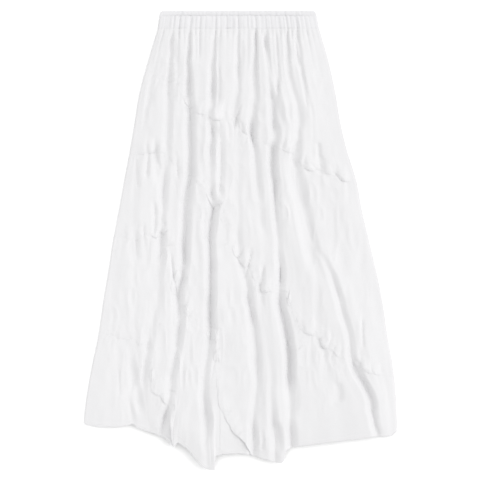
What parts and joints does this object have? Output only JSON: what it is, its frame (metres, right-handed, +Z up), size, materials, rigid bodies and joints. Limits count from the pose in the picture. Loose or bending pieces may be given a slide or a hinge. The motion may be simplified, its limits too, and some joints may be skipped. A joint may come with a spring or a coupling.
{
  "type": "tiered ruffle skirt laid flat",
  "caption": "Long white skirt with an elastic gathered waist and slanting gathered tiers, laid flat on its back with long soft folds and an uneven hem.",
  "frame": {"origin": "middle of the outline, on the surface that the skirt lies on", "axes": "+X across the skirt, +Y from the hem to the waist, +Z up from the surface, out of the front of the skirt"},
  "size_m": [0.6148, 0.8998, 0.0218],
  "materials": {
    "tier_cloth": "matte white plain weave",
    "waistband_cloth": "matte white plain weave, gathered over elastic"
  },
  "bodies": {
    "root": {"waistband_front": "waistband_cloth", "waistband_back": "waistband_cloth", "tier_1_front": "tier_cloth", "tier_2_front": "tier_cloth", "tier_3_front": "tier_cloth", "tier_4_front": "tier_cloth", "tier_5_front": "tier_cloth", "tier_1_back": "tier_cloth", "tier_2_back": "tier_cloth", "tier_3_back": "tier_cloth", "tier_4_back": "tier_cloth", "tier_5_back": "tier_cloth"}
  },
  "joints": []
}
